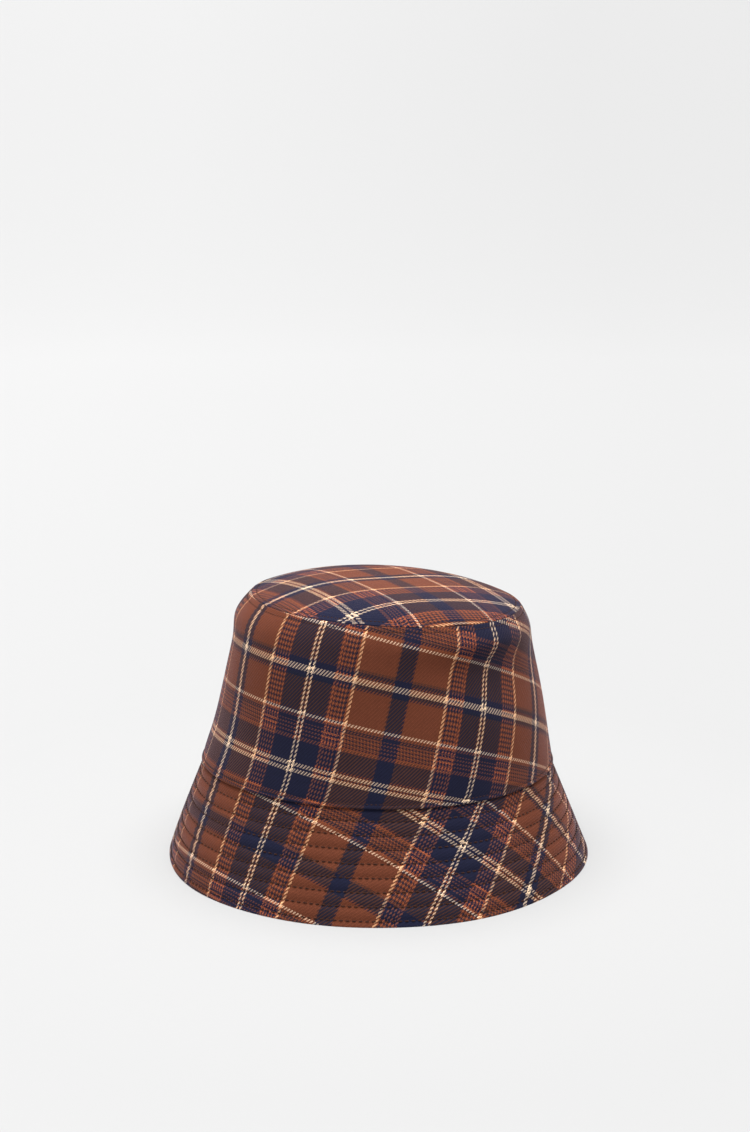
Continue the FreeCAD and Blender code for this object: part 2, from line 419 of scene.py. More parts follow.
def swept(name, wall, profile, columns, cloth, relief=None, strips=3, shown=None):
    """A closed profile of (climb, depth) swept round a wall.

    Cloth gives the flat cloth's place of a turn and climb. Relief adds to the depth of each point.
    Shown marks the profile's points on the face that is seen, which gets most of the texture.
    """
    hidden_weight = 0.12
    least_weight = 0.02
    climbs, depths = np.array(profile).T
    rows = len(climbs)
    turns = -math.pi + TAU * np.arange(columns) / columns
    turn, climb = np.meshgrid(turns, climbs, indexing="ij")
    depth = np.broadcast_to(depths, turn.shape).copy()
    if relief is not None:
        depth = depth + relief(turn, climb, depth)
    points = wall.at(turn, climb, depth).reshape(-1, 3)
    faces, corner_columns, corner_rows = grid_faces(columns, rows)
    corner_turns = -math.pi + TAU * corner_columns / columns
    corner_climbs = climbs[corner_rows % rows]
    steps = np.hypot(np.diff(climbs, append=climbs[0]), np.diff(depths, append=depths[0]))
    weights = steps + least_weight
    if shown is not None:
        weights = np.where(shown, weights, weights * hidden_weight)
    bake = strip_layout(corner_columns, corner_rows, columns, weights, strips)
    layers = {"OFBake": bake, "Cloth": cloth(corner_turns, corner_climbs)}
    return new_mesh(name, points, faces.tolist(), layers)


def first_points(profile, count):
    """Marks the first points of a profile, which lie on its outer face."""
    return np.arange(len(profile)) < count


# The turned ends of a layer's section, as angles from the outer face to the inner one.
HALF_ROUND = np.linspace(0, math.pi, 6)[1:-1]


def band_profile(low, high, depth, thickness, step):
    """A layer's section: up its outer face, over its rounded top, down inside, round its hem.

    Step is the length between points on the outer face. Also marks the outer face's points.
    """
    radius = thickness / 2
    climbs = np.linspace(low + radius, high - radius, max(2, int((high - low) / step) + 1))
    outside = [(climb, depth) for climb in climbs]
    inner = np.linspace(high - radius, low + radius, max(2, int((high - low) / (2 * step)) + 1))
    inside = [(climb, depth + thickness) for climb in inner]
    top = [(high - radius + radius * math.sin(a), depth + radius * (1 - math.cos(a)))
           for a in HALF_ROUND]
    foot = [(low + radius - radius * math.sin(a), depth + radius * (1 + math.cos(a)))
            for a in HALF_ROUND]
    profile = outside + top + inside + foot
    return profile, first_points(profile, len(outside))


def domed(name, dome, profile, columns, relief=None, outer_count=None):
    """A closed section of (inset, depth) turned round a dome, its first and last points on the axis.

    Outer count is how many of its points lie on the outer face, half of them if not given.
    """
    insets, depths = np.array(profile).T
    rows = len(insets)
    turns = -math.pi + TAU * np.arange(columns) / columns
    turn, inset = np.meshgrid(turns, insets, indexing="ij")
    depth = np.broadcast_to(depths, turn.shape).copy()
    if relief is not None:
        depth = depth + relief(turn, inset, depth)
    grid = dome.at(turn, inset, depth)
    points = np.concatenate([grid[:, 1:-1].reshape(-1, 3), grid[:1, 0], grid[:1, -1]])
    inner_rows = rows - 2
    top, bottom = columns * inner_rows, columns * inner_rows + 1
    column, row = np.meshgrid(np.arange(columns), np.arange(inner_rows - 1), indexing="ij")
    column, row = column.ravel(), row.ravel()
    after = (column + 1) % columns
    quads = np.stack([column * inner_rows + row, column * inner_rows + row + 1,
                      after * inner_rows + row + 1, after * inner_rows + row], -1)
    spoke = np.arange(columns)
    next_spoke = (spoke + 1) % columns
    fans = [np.stack([np.full(columns, top), spoke * inner_rows, next_spoke * inner_rows], -1),
            np.stack([np.full(columns, bottom), (next_spoke + 1) * inner_rows - 1,
                      (spoke + 1) * inner_rows - 1], -1)]
    faces = quads.tolist() + fans[0].tolist() + fans[1].tolist()
    corners = np.array([corner for face in faces for corner in face])
    flat = points[corners][:, :2]
    low, high = points[:, :2].min(0), points[:, :2].max(0)
    spread = (flat - low) / (high - low).max()
    in_row = np.where(corners < top, corners % inner_rows + 1, np.where(corners == top, 0, rows))
    sizes = np.array([len(face) for face in faces])
    starts = np.cumsum(sizes) - sizes
    face_row = np.repeat(np.minimum.reduceat(in_row, starts), sizes)
    hidden = face_row >= (outer_count or rows // 2)
    # The outer face gets most of the texture, and the inner one a corner of it.
    bake = np.where(hidden[:, None], 0.90 + 0.09 * spread, 0.005 + 0.885 * spread)
    cloth = np.array(TIP_CLOTH) + flat * (1, -1)
    return new_mesh(name, points, faces, {"OFBake": bake, "Cloth": cloth})


# -------- stitch rows

def row_places(length, pitch):
    """The turns of a row's stitches round a wall whose row has that length."""
    count = int(round(length / pitch))
    return -math.pi + TAU * (np.arange(count) + 0.5) / count


def row_length(wall, climb):
    points = wall.ruled(TURNS, np.full_like(TURNS, climb))
    return np.linalg.norm(np.diff(points, axis=0), axis=1).sum()


def stitches(name, place, turns, length, stitch, thread=THREAD):
    """Short capsules of thread, that arch out of the cloth and back into it.

    Place gives points at a turn and a height above the row. Length is the whole row's.
    """
    stations = np.linspace(-1, 1, 7)
    sides = 6
    stand, dip = 0.1, 0.45
    ring = TAU * np.arange(sides) / sides
    half_turn = math.pi * stitch / length
    turn = turns[:, None] + stations * half_turn
    arch = stand - dip * np.abs(stations) ** 3
    centre = place(turn, np.broadcast_to(arch, turn.shape))
    above = unit(place(turn, np.broadcast_to(arch + 0.1, turn.shape)) - centre)
    along = place(turn + 0.001, np.broadcast_to(arch, turn.shape)) - centre
    side = unit(np.cross(along, above))
    radius = thread / 2 * np.sqrt(np.clip(1 - 0.93 * np.abs(stations) ** 4, 0, 1))
    offset = (np.cos(ring)[:, None] * side[:, :, None, :]
              + np.sin(ring)[:, None] * above[:, :, None, :])
    points = (centre[:, :, None, :] + offset * radius[:, None, None]).reshape(-1, 3)

    count = len(turns)
    station, spoke = np.meshgrid(np.arange(len(stations) - 1), np.arange(sides), indexing="ij")
    station, spoke = station.ravel(), spoke.ravel()
    next_spoke = (spoke + 1) % sides
    quad = np.stack([station * sides + spoke, station * sides + next_spoke,
                     (station + 1) * sides + next_spoke, (station + 1) * sides + spoke], -1)
    size = len(stations) * sides
    quads = (quad[None] + size * np.arange(count)[:, None, None]).reshape(-1, 4)
    start = np.arange(sides)[::-1]
    end = (len(stations) - 1) * sides + np.arange(sides)
    caps = np.stack([start, end])
    caps = (caps[None] + size * np.arange(count)[:, None, None]).reshape(-1, sides)

    # Each stitch has a cell of the texture, with a margin all round.
    cells = math.ceil(math.sqrt(count))
    margin = 0.06
    inner = 1 - 2 * margin
    origin = np.stack([np.arange(count) % cells, np.arange(count) // cells], -1)[:, None, None, :]
    u = np.stack([station, station, station + 1, station + 1], -1) / (len(stations) - 1)
    v = np.stack([spoke, spoke + 1, spoke + 1, spoke], -1) / sides
    local = np.stack([u, v], -1)[None]
    quad_bake = ((origin + margin + inner * local) / cells).reshape(-1, 2)
    quad_thread = np.broadcast_to(local, (count,) + local.shape[1:]).reshape(-1, 2)
    cap_local = np.stack([np.full((2, sides), 0.02), np.tile(np.arange(sides) / sides, (2, 1))], -1)
    cap_bake = ((origin + margin + inner * cap_local[None]) / cells).reshape(-1, 2)
    cap_thread = np.zeros((count * 2 * sides, 2))
    layers = {"OFBake": np.concatenate([quad_bake, cap_bake]),
              "Thread": np.concatenate([quad_thread, cap_thread])}
    return new_mesh(name, points, quads.tolist() + caps.tolist(), layers)


# -------- materials

class Nodes:
    """Small helpers for building a material's node tree."""

    def __init__(self, name):
        self.material = bpy.data.materials.new(name)
        self.material.use_nodes = True
        self.tree = self.material.node_tree
        self.shader = self.tree.nodes["Principled BSDF"]

    def node(self, kind, **settings):
        made = self.tree.nodes.new(kind)
        for key, value in settings.items():
            setattr(made, key, value)
        return made

    def put(self, socket, value):
        if isinstance(value, bpy.types.NodeSocket):
            self.tree.links.new(value, socket)
        else:
            socket.default_value = value

    def math(self, operation, first, second=0.0, third=0.0):
        made = self.node("ShaderNodeMath", operation=operation)
        for socket, value in zip(made.inputs, (first, second, third)):
            self.put(socket, value)
        return made.outputs[0]

    def uv(self, layer):
        made = self.node("ShaderNodeUVMap", uv_map=layer)
        split = self.node("ShaderNodeSeparateXYZ")
        self.put(split.inputs[0], made.outputs[0])
        return split.outputs[0], split.outputs[1]

    def noise(self, scale, detail=2.0):
        """Noise in the object's own space. Scale is in waves to a metre."""
        made = self.node("ShaderNodeTexNoise")
        made.inputs["Scale"].default_value = scale
        made.inputs["Detail"].default_value = detail
        made.inputs["Roughness"].default_value = 0.5
        self.put(made.inputs["Vector"], self.node("ShaderNodeTexCoord").outputs["Object"])
        return made.outputs["Fac"]

    def mix(self, share, first, second, blend="MIX"):
        made = self.node("ShaderNodeMix", data_type="RGBA", blend_type=blend)
        for name, value in (("Factor_Float", share), ("A_Color", first), ("B_Color", second)):
            socket = next(s for s in made.inputs if s.identifier == name)
            if isinstance(value, tuple):
                value = tuple(value[:3]) + (1.0,)
            self.put(socket, value)
        return next(s for s in made.outputs if s.identifier == "Result_Color")

    def grey(self, tone):
        made = self.node("ShaderNodeCombineXYZ")
        for socket in made.inputs:
            self.put(socket, tone)
        return made.outputs[0]

    def toned(self, colour, tone):
        return self.mix(1.0, colour, self.grey(tone), "MULTIPLY")

    def span(self, value, low, high, to_low, to_high):
        """A value between low and high, carried over to the same share of the other pair."""
        made = self.node("ShaderNodeMapRange")
        for socket, amount in zip(made.inputs, (value, low, high, to_low, to_high)):
            self.put(socket, amount)
        return made.outputs[0]

    def bump(self, height, distance, strength):
        """A normal bumped by a height. Distance is in metres."""
        made = self.node("ShaderNodeBump")
        made.inputs["Strength"].default_value = strength
        made.inputs["Distance"].default_value = distance
        self.put(made.inputs["Height"], height)
        return made.outputs[0]

    def finish(self, colour, roughness, sheen=0.0, tint=(1.0, 1.0, 1.0), normal=None):
        """The whole material: matt, with a soft sheen."""
        self.put(self.shader.inputs["Base Color"], colour)
        self.put(self.shader.inputs["Roughness"], roughness)
        self.shader.inputs["Sheen Weight"].default_value = sheen
        self.shader.inputs["Sheen Tint"].default_value = tint + (1.0,)
        self.shader.inputs["Sheen Roughness"].default_value = 0.3
        self.shader.inputs["Specular IOR Level"].default_value = 0.06
        if normal is not None:
            self.put(self.shader.inputs["Normal"], normal)
        return self.material


def srgb(red, green, blue):
    """A colour given as 0-255 in the usual display values."""
    return tuple((v / 255 / 12.92) if v <= 10 else ((v / 255 + 0.055) / 1.055) ** 2.4
                 for v in (red, green, blue))


# The yarns of the check, and how many threads of each lie side by side from the middle of one
# cream stripe to the middle of the next navy one, where the order turns back. Some counts end in
# part of a thread. The navy of a check block takes turns with rust.
YARNS = {
    "cream": srgb(228, 198, 164),
    "gold": srgb(222, 172, 126),
    "sand": srgb(238, 208, 176),
    "brown": srgb(95, 51, 35),
    "navy": srgb(25, 27, 46),
    "rust": srgb(141, 74, 47),
    "check": srgb(25, 27, 46),
}
WARP = (("cream", 2), ("navy", 9), ("brown", 40), ("gold", 3.5), ("rust", 2), ("navy", 2.5),
        ("check", 16), ("rust", 2), ("navy", 27), ("cream", 2.6), ("navy", 2.8), ("cream", 2.6),
        ("navy", 27), ("rust", 2), ("check", 16), ("navy", 2.5), ("rust", 2), ("gold", 3.5),
        ("brown", 44), ("navy", 11))
WEFT = (("cream", 2), ("navy", 5), ("brown", 27), ("sand", 3), ("rust", 2), ("navy", 3), ("check", 10),
        ("navy", 2), ("rust", 3), ("navy", 18), ("cream", 3), ("navy", 2), ("cream", 3), ("navy", 18),
        ("rust", 3), ("navy", 2), ("check", 10), ("navy", 3), ("rust", 2), ("sand", 3), ("brown", 26),
        ("navy", 8))
# How many of a check block's threads make one turn. The first half of a turn is rust.
WARP_CHECK = 4.0
WEFT_CHECK = 3.0
# The threads' pitches in millimetres, and how much of a thread the warp laps over the weft.
WARP_PITCH = 0.4461
WEFT_PITCH = 0.6410
LAP = 0.15
# How much of its light a float loses to darker threads beside it, painted into its colour as shade,
# for a dark yarn and a light one.
DARK_LOSS = 0.74
LIGHT_LOSS = 0.6


def yarn_ramp(nodes, threads, order, check_turn):
    """The yarn's colour at a thread count, its order repeated back and forth.

    A check's stops have an alpha of 1. Its turns are counted from the outer ends of the two blocks
    beside the middle of the double cream stripe, so both blocks mirror each other.
    """
    total = sum(count for _, count in order)
    folded = nodes.math("PINGPONG", threads, float(total))
    ramp = nodes.node("ShaderNodeValToRGB")
    ramp.color_ramp.interpolation = "CONSTANT"
    stops = ramp.color_ramp.elements
    start = 0
    for yarn, count in order:
        stop = stops.new(start / total) if start else stops[0]
        stop.position = start / total
        stop.color = YARNS[yarn] + (1.0 if yarn == "check" else 0.0,)
        start += count
    stops.remove(stops[-1])
    nodes.put(ramp.inputs[0], nodes.math("DIVIDE", folded, float(total)))
    first_check = next(i for i, (yarn, _) in enumerate(order) if yarn == "check")
    middle = next(i for i, (yarn, _) in enumerate(order) if yarn == "cream" and i) + 1
    centre = sum(count for _, count in order[:middle]) + order[middle][1] / 2
    outermost = centre - sum(count for _, count in order[:first_check])
    from_centre = nodes.math("ABSOLUTE", nodes.math("SUBTRACT", folded, centre))
    inwards = nodes.math("SUBTRACT", outermost, from_centre)
    turn_by_turn = nodes.math("FLOORED_MODULO", inwards, check_turn)
    is_rust = nodes.math("LESS_THAN", turn_by_turn, check_turn / 2)
    check = nodes.math("MULTIPLY", is_rust, ramp.outputs["Alpha"])
    return nodes.mix(check, ramp.outputs["Color"], YARNS["rust"])


def check_twill(name):
    """A 2/2 twill of coloured yarns, its lines rising to the right across the cloth."""
    nodes = Nodes(name)
    across, down = nodes.uv("Cloth")
    warp = nodes.math("DIVIDE", across, WARP_PITCH)
    weft = nodes.math("DIVIDE", down, WEFT_PITCH)
    warp_count, weft_count = nodes.math("FLOOR", warp), nodes.math("FLOOR", weft)
    warp_colour = yarn_ramp(nodes, warp, WARP, WARP_CHECK)
    weft_colour = yarn_ramp(nodes, weft, WEFT, WEFT_CHECK)

    # How far along its float a place is. The tight warp laps a little over the weft at both ends.
    lapped = nodes.math("ADD", nodes.math("ADD", warp_count, weft), LAP)
    along_warp = nodes.math("FLOORED_MODULO", lapped, 4.0)
    along_weft = nodes.math("FLOORED_MODULO", nodes.math("ADD", warp, weft_count), 4.0)
    warp_on_top = nodes.math("LESS_THAN", along_warp, 2.0 + 2 * LAP)

    def bulge(along, middle, half_float, thread):
        """A float's height: an arch along it and a round across it."""
        from_middle = nodes.math("DIVIDE", nodes.math("SUBTRACT", along, middle), half_float)
        fall = nodes.math("POWER", nodes.math("ABSOLUTE", from_middle), 2.5)
        arch = nodes.math("SUBTRACT", 1.0, fall)
        edge = nodes.math("MULTIPLY_ADD", nodes.math("FRACT", thread), 2.0, -1.0)
        round_it = nodes.math("SUBTRACT", 1.0, nodes.math("MULTIPLY", edge, edge))
        return nodes.math("SQRT", nodes.math("MAXIMUM", nodes.math("MULTIPLY", arch, round_it), 0.0))

    warp_bulge = bulge(along_warp, 1.0 + LAP, 1.0 + LAP, warp)
    # A flatter weft float is also darker, through the shade painted from height below.
    weft_flatter = 0.78
    weft_bulge = nodes.math("MULTIPLY", bulge(along_weft, 3.0, 1.0, weft), weft_flatter)
    height = nodes.math("ADD", nodes.math("MULTIPLY", warp_on_top, warp_bulge),
                        nodes.math("MULTIPLY", nodes.math("SUBTRACT", 1.0, warp_on_top), weft_bulge))
    colour = nodes.mix(warp_on_top, weft_colour, warp_colour)

    # Light that passes from thread to thread takes some of both their colours, so a float is darker
    # beside darker ones; this shade is painted into the colour. The threads beside it are the other
    # set's, two threads further on.
    warp_beside = yarn_ramp(nodes, nodes.math("ADD", warp, 2.0), WARP, WARP_CHECK)
    weft_beside = yarn_ramp(nodes, nodes.math("ADD", weft, 2.0), WEFT, WEFT_CHECK)
    beside = nodes.mix(warp_on_top, warp_beside, weft_beside)
    both = nodes.node("ShaderNodeGamma")
    nodes.put(both.inputs["Color"], nodes.mix(1.0, colour, beside, "MULTIPLY"))
    both.inputs["Gamma"].default_value = 0.5
    lightness = nodes.node("ShaderNodeRGBToBW")
    nodes.put(lightness.inputs[0], colour)
    loss = nodes.span(lightness.outputs[0], 0.15, 0.6, DARK_LOSS, LIGHT_LOSS)
    colour = nodes.mix(loss, colour, both.outputs[0], "DARKEN")

    # Shade between the threads, uneven yarn, and a faint bloom of lighter fibres.
    ids = nodes.node("ShaderNodeCombineXYZ")
    nodes.put(ids.inputs[0], warp_count)
    nodes.put(ids.inputs[1], weft_count)
    speck = nodes.node("ShaderNodeTexWhiteNoise", noise_dimensions="3D")
    nodes.put(speck.inputs["Vector"], ids.outputs[0])
    shade = nodes.span(height, 0.0, 0.8, 0.14, 1.14)
    uneven = nodes.span(speck.outputs["Value"], 0.0, 1.0, 0.9, 1.1)
    cloudy = nodes.span(nodes.noise(22.0, 3.0), 0.3, 0.7, 0.93, 1.07)
    tone = nodes.math("MULTIPLY", nodes.math("MULTIPLY", shade, uneven), cloudy)
    roughness = nodes.span(speck.outputs["Value"], 0.0, 1.0, 0.78, 0.92)
    normal = nodes.bump(height, 0.00012, 0.7)
    return nodes.finish(nodes.toned(colour, tone), roughness, 0.14, srgb(255, 208, 214), normal)


def plain_weave(name, colour, pitch, depth=0.00008, sheen=0.1, ribs=False):
    """A plain cloth of one colour, or a ribbed one, its threads shown by shade and bump."""
    nodes = Nodes(name)

    def ridges(value):
        wave = nodes.math("SINE", nodes.math("MULTIPLY", value, math.pi / pitch))
        return nodes.math("ABSOLUTE", wave)

    across, down = nodes.uv("Cloth")
    height = ridges(across)
    if not ribs:
        height = nodes.math("MAXIMUM", height, ridges(down))
    fuzz = nodes.noise(160.0, 3.0)
    tone = nodes.span(height, 0.2, 1.0, 0.62, 1.0)
    tone = nodes.math("MULTIPLY", tone, nodes.span(fuzz, 0.3, 0.7, 0.9, 1.1))
    roughness = nodes.span(fuzz, 0.3, 0.7, 0.75, 0.9)
    normal = nodes.bump(height, depth, 0.6)
    return nodes.finish(nodes.toned(colour, tone), roughness, sheen, normal=normal)


def sewing_thread(name, colour):
    """A twisted two-ply thread: slanting ridges along each stitch."""
    nodes = Nodes(name)
    along, round_it = nodes.uv("Thread")
    ridges_along, ridges_round = 5.0, 2.0
    twist = nodes.math("ADD", nodes.math("MULTIPLY", along, ridges_along),
                       nodes.math("MULTIPLY", round_it, ridges_round))
    ridge = nodes.math("ABSOLUTE", nodes.math("SINE", nodes.math("MULTIPLY", twist, math.pi)))
    # The grooves between the plies are darker, a painted shade.
    tone = nodes.span(ridge, 0.0, 1.0, 0.6, 1.1)
    roughness = nodes.span(nodes.noise(400.0), 0.3, 0.7, 0.55, 0.75)
    normal = nodes.bump(ridge, 0.00008, 0.6)
    return nodes.finish(nodes.toned(colour, tone), roughness, 0.1, normal=normal)


def backdrop_paper(name):
    """White paper with a painted glow, which stands in for the studio light falling on it.

    The painted glow is weaker and the paper paler near the hat, so the hat's own shade shows there,
    and the glow is stronger where it curves up out of the top light and on the key light's side,
    a painted light. Lengths are in metres.
    """
    nodes = Nodes(name)
    near, far = 0.12, 0.3
    place = nodes.node("ShaderNodeSeparateXYZ")
    nodes.put(place.inputs[0], nodes.node("ShaderNodeTexCoord").outputs["Object"])
    x, y, z = place.outputs
    from_hat = nodes.math("SQRT", nodes.math("ADD", nodes.math("MULTIPLY", x, x),
                                             nodes.math("MULTIPLY", y, y)))
    aside = nodes.math("ADD", nodes.math("MULTIPLY", x, 0.52), nodes.math("MULTIPLY", y, 0.85))
    cloudy = nodes.span(nodes.noise(0.8, 1.0), 0.3, 0.7, 0.985, 1.0)
    tone = nodes.math("MULTIPLY", cloudy, nodes.span(from_hat, near, far, 0.24, 0.13))
    # Painted light: the glow grows up the wall, fades near the hat and is a little weaker away from
    # the key.
    glow = nodes.math("ADD", nodes.span(z, 0.0, 1.2, 0.0, 0.28),
                      nodes.span(from_hat, near, far, 0.2, 0.51))
    glow = nodes.math("MULTIPLY", glow, nodes.span(aside, -0.4, 0.4, 1.0, 0.91))
    nodes.shader.inputs["Emission Color"].default_value = (1.0, 1.0, 1.0, 1.0)
    nodes.put(nodes.shader.inputs["Emission Strength"], glow)
    return nodes.finish(nodes.grey(tone), 0.9)


TWILL = check_twill("check_twill")
LINING_CLOTH = plain_weave("lining_cloth", srgb(48, 50, 68), 0.45)
STIFF_CLOTH = plain_weave("stiff_interlining", srgb(222, 217, 204), 0.6)
FUSED_CLOTH = plain_weave("fused_backing", srgb(214, 210, 200), 0.5)
BAND_RIB = plain_weave("ribbed_band", srgb(74, 46, 36), 0.9, depth=0.0002, ribs=True)
# The thread's brown is partly its own and partly a painted shade, darker for the holes and dips its
# stitches sit in.
BROWN_THREAD = sewing_thread("brown_thread", srgb(52, 29, 20))
SATIN = plain_weave("satin_tape", srgb(226, 222, 210), 0.25, sheen=0.2)


# -------- the pieces

def dress(obj, material, slot, *nodes, body="hat"):
    """Gives a piece its material, the CAD nodes it replaces and the body it rides on. Slot is not
    used.
    """
    obj.data.materials.append(material)
    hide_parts(*nodes)
    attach(obj, body)


def pull(value, row, reach, depth):
    """The dip that a row of stitches presses into a layer."""
    return depth * bump(value, row, reach)


def seam_groove(turn):
    """The panels' ends meet in a sewn seam at the back."""
    from_back = np.abs(angle_from(turn, math.pi)) * SEAM.half_length
    return BACK_SEAM_DIP * bump(from_back, 0.0, BACK_SEAM_REACH)


def brim_rows():
    return [BRIM_ROW_FIRST + row * BRIM_ROW_PITCH for row in range(BRIM_ROWS)]


def quilting(turn, climb):
    """The brim's rows and its seam press its faces in, with soft ridges between them."""
    dip = np.zeros_like(turn)
    for row in brim_rows():
        dip += pull(climb, row, QUILT_REACH, QUILT_DIP)
    dip += pull(climb, BRIM.slant - 0.3, SEAM_REACH, SEAM_DIP)
    return dip + seam_groove(turn)


def upper_quilting(turn, climb, depth):
    return np.where(depth < CLOTH / 2, quilting(turn, climb), 0.0)


def under_quilting(turn, climb, depth):
    return np.where(depth > UNDER_DEPTH + CLOTH / 2, -quilting(turn, climb), 0.0)


def brim_cloth(turn, climb):
    """The cloth is set a little further out on the right."""
    return BRIM_PATTERN.at(turn, BRIM.slant - climb - 2.5 * lobe(turn, 84, 24))


def crown_cloth(turn, climb):
    """The cloth is eased sideways a little near the hem."""
    ease, reach = 2.4, 10
    place = CROWN_PATTERN.at(turn, climb)
    place[..., 0] += ease * np.exp(-np.maximum(climb, 0) / reach)
    return place


def make_brim():
    top = BRIM.slant + ALLOWANCE
    quilt_step = 1.05
    profile, outer = band_profile(0.0, top, 0.0, CLOTH, quilt_step)
    upper = swept("brim_upper_cloth", BRIM, profile, BRIM_COLUMNS, brim_cloth, upper_quilting,
                  strips=4, shown=outer)
    dress(upper, TWILL, "check_twill", "brim_upper")
    profile, outer = band_profile(UNDER_EDGE, top, UNDER_DEPTH, CLOTH, quilt_step)
    under = swept("brim_under_cloth", BRIM, profile, BRIM_COLUMNS, brim_cloth, under_quilting,
                  strips=4, shown=~outer)
    dress(under, TWILL, "check_twill", "brim_under")
    profile, _ = band_profile(STIFFENER_EDGE, top, CLOTH + PLY_GAP, STIFFENER, 4.0)
    stiff = swept("brim_interlining", BRIM, profile, COARSE, brim_cloth)
    dress(stiff, STIFF_CLOTH, "stiffener", "brim_stiffener")
    for number, row in enumerate(brim_rows(), start=1):
        length = row_length(BRIM, row)
        turns = row_places(length, BRIM_STITCH)

        def upper_place(turn, height, row=row):
            return BRIM.at(turn, np.full_like(turn, row), BRIM_ROW_SUNK - height)

        def under_place(turn, height, row=row):
            return BRIM.at(turn, np.full_like(turn, row), UNDER_DEPTH + CLOTH - BRIM_ROW_SUNK + height)

        # The under side's stitches lie between those of the upper side.
        half_pitch = math.pi / len(turns)
        for name, place, places in (("brim_stitches", upper_place, turns),
                                    ("brim_under_stitches", under_place, turns + half_pitch)):
            made = stitches(f"{name}_{number}", place, places, length, BRIM_STITCH * BRIM_COVERED,
                            BRIM_THREAD)
            dress(made, BROWN_THREAD, "thread", f"brim_stitch_row_{number}")


def make_crown():
    # The side goes up its outer face, a part of the way round its roll, and down its inner face.
    slant = CROWN.slant
    roll, gap = TIP_ROLL, TIP_GAP
    bends = np.radians(np.linspace(0, 60, 6))
    climbs = np.linspace(CLOTH / 2, slant - gap - roll, 88)
    outside = [(climb, 0.0) for climb in climbs]
    outside += [(slant - gap - roll * (1 - math.sin(a)), roll * (1 - math.cos(a))) for a in bends[1:]]
    inside = [(slant - gap - 0.3, roll * 0.5 + 0.5), (slant - gap - roll, CLOTH)]
    inside += [(climb, CLOTH) for climb in np.linspace(slant - 3, CLOTH / 2, 44)]
    foot = [(CLOTH / 2 * (1 - math.sin(a)), CLOTH / 2 * (1 + math.cos(a))) for a in HALF_ROUND]
    profile = outside + inside + foot

    def is_outer(depth):
        return np.where(depth < CLOTH * 0.6, 1.0, 0.0)

    def side_relief(turn, climb, depth):
        dip = pull(climb, HEM_ROW, ROW_REACH, HEM_DIP)
        dip = dip + pull(climb, slant - SIDE_ROW, ROW_REACH, TIP_DIP)
        lip = -LIP * bump(climb, LIP_CLIMB, LIP_REACH)
        return (dip + seam_groove(turn)) * is_outer(depth) + lip

    side = swept("crown_side_cloth", CROWN, profile, CROWN_COLUMNS, crown_cloth, side_relief,
                 shown=first_points(profile, len(outside)))
    dress(side, TWILL, "check_twill", "crown_side")

    # The tip goes from its middle out to the same roll, and back in below.
    dome = Dome(slant, 0.0, dome_rise("crown_tip", TIP) + TIP_FULLNESS)
    insets = np.linspace(dome.radius, gap + roll, 72)
    outer = [(inset, 0.0) for inset in insets]
    outer += [(gap + roll * (1 - math.sin(a)), roll * (1 - math.cos(a))) for a in bends[1:]]
    inner = [(gap + 0.35, roll * 0.5 + 0.5), (gap + roll, CLOTH)]
    inner += [(inset, CLOTH) for inset in np.linspace(3, dome.radius, 30)]

    def tip_relief(turn, inset, depth):
        return pull(inset, TIP_ROW, ROW_REACH, TIP_DIP) * is_outer(depth)

    tip = domed("crown_tip_cloth", dome, outer + inner, TIP_COLUMNS, tip_relief, len(outer))
    dress(tip, TWILL, "check_twill", "crown_tip")

    profile, _ = band_profile(ALLOWANCE + 1, slant - 3, CLOTH + PLY_GAP, INTERFACING, 4.0)
    dress(swept("side_backing", CROWN, profile, COARSE, crown_cloth), FUSED_CLOTH, "interfacing",
          "side_interfacing")
    insets = np.linspace(dome.radius, 1.6, 24)
    backing = [(inset, CLOTH + PLY_GAP) for inset in insets]
    backing += [(inset, CLOTH + PLY_GAP + INTERFACING) for inset in insets[::-1]]
    dress(domed("tip_backing", dome, backing, COARSE_TIP), FUSED_CLOTH, "interfacing",
          "tip_interfacing")

    rows = (("hem_topstitches", HEM_ROW, HEM_STITCH, "crown_hem_topstitch"),
            ("side_topstitches", slant - SIDE_ROW, TIP_STITCH, "tip_seam_side_topstitch"))
    for name, row, pitch, node in rows:
        length = row_length(CROWN, row)

        def place(turn, height, row=row):
            return CROWN.at(turn, np.full_like(turn, row), ROW_SUNK - height)

        made = stitches(name, place, row_places(length, pitch), length, pitch * COVERED)
        dress(made, BROWN_THREAD, "thread", node)

    def on_tip(turn, height):
        return dome.at(turn, np.full_like(turn, TIP_ROW), ROW_SUNK - height)

    length = TAU * (dome.radius - TIP_ROW)
    made = stitches("tip_topstitches", on_tip, row_places(length, TIP_STITCH), length,
                    TIP_STITCH * COVERED)
    dress(made, BROWN_THREAD, "thread", "tip_seam_top_topstitch")


def dome_rise(node, rim):
    """How high a dome's node stands above the middle of its rim."""
    near = 12.0
    points = node_points(node)
    middle = points[np.hypot(points[:, 0], points[:, 1] - rim.back) < near]
    return middle[:, 2].max() - rim.height


